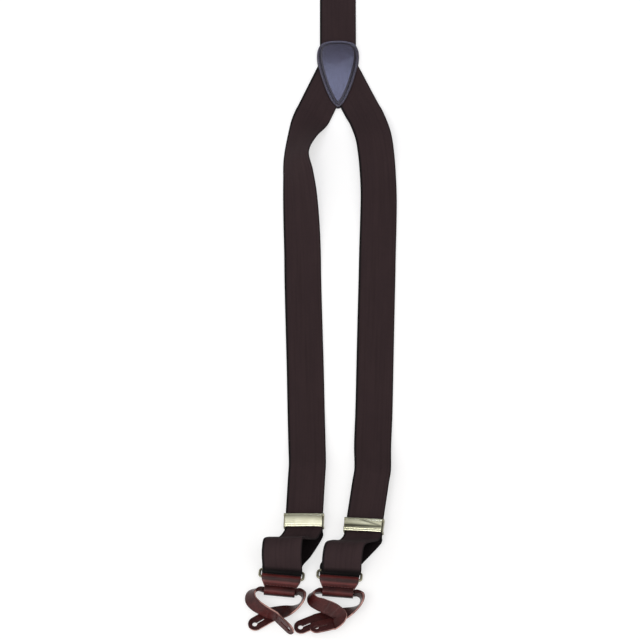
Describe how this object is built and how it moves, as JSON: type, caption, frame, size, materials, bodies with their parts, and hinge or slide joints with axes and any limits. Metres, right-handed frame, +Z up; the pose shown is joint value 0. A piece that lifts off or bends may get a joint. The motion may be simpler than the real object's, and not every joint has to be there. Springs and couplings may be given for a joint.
{
  "type": "suspenders",
  "caption": "Y-back dress suspenders with elastic webbing straps, a stitched leather back patch, brass lever adjusters and leather button ends.",
  "frame": {"origin": "centre of the underside of the back patch, on the surface the suspenders lie on", "axes": "+Y up the back strap, +X to the side of the right-hand shoulder strap in the view from the button ends, +Z up off the surface"},
  "size_m": [0.1549, 1.0195, 0.0369],
  "materials": {
    "webbing": "woven matt dark brown elastic webbing",
    "patch_leather": "glossy near-black brown leather",
    "end_leather": "semi-gloss oxblood leather with paler cut edges",
    "brass": "polished pale brass",
    "thread": "waxed thread"
  },
  "bodies": {
    "patch": {"patch_back": "patch_leather", "patch_front": "patch_leather", "patch_stitching": "thread", "left_strap_root": "webbing", "right_strap_root": "webbing", "back_strap_root": "webbing"},
    "back_strap": {"back_strap": "webbing"},
    "left_upper": {"left_strap_upper": "webbing"},
    "left_lower": {"left_strap_lower": "webbing"},
    "left_adjuster": {"left_adjuster_frame": "brass", "left_adjuster_bar": "brass", "left_adjuster_pin": "brass"},
    "left_lever": {"left_adjuster_lever": "brass"},
    "left_loop": {"left_loop": "webbing"},
    "right_upper": {"right_strap_upper": "webbing"},
    "right_lower": {"right_strap_lower": "webbing"},
    "right_adjuster": {"right_adjuster_frame": "brass", "right_adjuster_bar": "brass", "right_adjuster_pin": "brass"},
    "right_lever": {"right_adjuster_lever": "brass"},
    "right_loop": {"right_loop": "webbing"},
    "left_ring": {"left_ring": "brass"},
    "left_tab": {"left_tab": "end_leather", "left_tab_stitching": "thread"},
    "left_ears": {"left_thong": "end_leather", "left_ear_front": "end_leather", "left_ear_rear": "end_leather"},
    "right_ring": {"right_ring": "brass"},
    "right_tab": {"right_tab": "end_leather", "right_tab_stitching": "thread"},
    "right_ears": {"right_thong": "end_leather", "right_ear_front": "end_leather", "right_ear_rear": "end_leather"},
    "back_ring": {"back_ring": "brass"},
    "back_tab": {"back_tab": "end_leather", "back_tab_stitching": "thread"},
    "back_ears": {"back_thong": "end_leather", "back_ear_front": "end_leather", "back_ear_rear": "end_leather"}
  },
  "joints": [
    {"name": "left_strap_fold", "type": "hinge", "parent": "patch", "child": "left_upper", "pos_m": [-0.024, -0.047, 0.00295], "axis": [-1, 0, 0], "range_deg": [0, 90]},
    {"name": "right_strap_fold", "type": "hinge", "parent": "patch", "child": "right_upper", "pos_m": [0.025, -0.047, 0.00295], "axis": [-1, 0, 0], "range_deg": [0, 90]},
    {"name": "back_strap_fold", "type": "hinge", "parent": "patch", "child": "back_strap", "pos_m": [0, 0.043, 0.00295], "axis": [-1, 0, 0], "range_deg": [-100, 0]},
    {"name": "left_strap_bend", "type": "hinge", "parent": "left_upper", "child": "left_lower", "pos_m": [-0.0365, -0.25, 0.0015], "axis": [-1, 0, 0], "range_deg": [0, 100]},
    {"name": "right_strap_bend", "type": "hinge", "parent": "right_upper", "child": "right_lower", "pos_m": [0.0397, -0.25, 0.0015], "axis": [-1, 0, 0], "range_deg": [0, 100]},
    {"name": "left_adjuster_slide", "type": "slide", "parent": "left_lower", "child": "left_adjuster", "axis": [0.0523, 0.9986, 0], "range_m": [0, 0.03]},
    {"name": "left_lever_open", "type": "hinge", "parent": "left_adjuster", "child": "left_lever", "pos_m": [-0.03504, -0.52209, 0.01099], "axis": [-0.9932, 0.052, -0.1045], "range_deg": [0, 100]},
    {"name": "left_loop_follow", "type": "slide", "parent": "left_adjuster", "child": "left_loop", "axis": [0.0523, 0.9986, 0], "range_m": [-0.015, 0], "deforming": ["left_loop"]},
    {"name": "right_adjuster_slide", "type": "slide", "parent": "right_lower", "child": "right_adjuster", "axis": [0.1392, 0.9903, 0], "range_m": [0, 0.03]},
    {"name": "right_lever_open", "type": "hinge", "parent": "right_adjuster", "child": "right_lever", "pos_m": [0.02567, -0.52808, 0.01236], "axis": [-0.9752, 0.1371, -0.1736], "range_deg": [0, 100]},
    {"name": "right_loop_follow", "type": "slide", "parent": "right_adjuster", "child": "right_loop", "axis": [0.1392, 0.9903, 0], "range_m": [-0.015, 0], "deforming": ["right_loop"]},
    {"name": "left_ring_swing", "type": "hinge", "parent": "left_loop", "child": "left_ring", "pos_m": [-0.057, -0.581, 0.0035], "axis": [-0.9945, 0.1045, 0], "range_deg": [-20, 30]},
    {"name": "left_tab_swing", "type": "hinge", "parent": "left_ring", "child": "left_tab", "pos_m": [-0.05784, -0.58896, 0.0035], "axis": [-0.9945, 0.1045, 0], "range_deg": [-20, 60]},
    {"name": "left_ears_swing", "type": "hinge", "parent": "left_tab", "child": "left_ears", "pos_m": [-0.05946, -0.60437, 0.0053], "axis": [-0.9945, 0.1045, 0], "range_deg": [-20, 75]},
    {"name": "right_ring_swing", "type": "hinge", "parent": "right_loop", "child": "right_ring", "pos_m": [0.001, -0.582, 0.0035], "axis": [-0.9962, 0.0872, 0], "range_deg": [-20, 30]},
    {"name": "right_tab_swing", "type": "hinge", "parent": "right_ring", "child": "right_tab", "pos_m": [0.0003, -0.58997, 0.0035], "axis": [-0.9962, 0.0872, 0], "range_deg": [-20, 60]},
    {"name": "right_ears_swing", "type": "hinge", "parent": "right_tab", "child": "right_ears", "pos_m": [-0.00105, -0.60541, 0.0053], "axis": [-0.9962, 0.0872, 0], "range_deg": [-20, 75]},
    {"name": "back_ring_swing", "type": "hinge", "parent": "back_strap", "child": "back_ring", "pos_m": [0, 0.292, 0.0035], "axis": [1, 0, 0], "range_deg": [-20, 30]},
    {"name": "back_tab_swing", "type": "hinge", "parent": "back_ring", "child": "back_tab", "pos_m": [0, 0.3, 0.0035], "axis": [1, 0, 0], "range_deg": [-20, 60]},
    {"name": "back_ears_swing", "type": "hinge", "parent": "back_tab", "child": "back_ears", "pos_m": [0, 0.3155, 0.0053], "axis": [1, 0, 0], "range_deg": [-20, 75]}
  ],
  "couplings": [
    {"joint": "left_loop_follow", "follows": "left_adjuster_slide", "ratio": -0.5},
    {"joint": "right_loop_follow", "follows": "right_adjuster_slide", "ratio": -0.5}
  ]
}
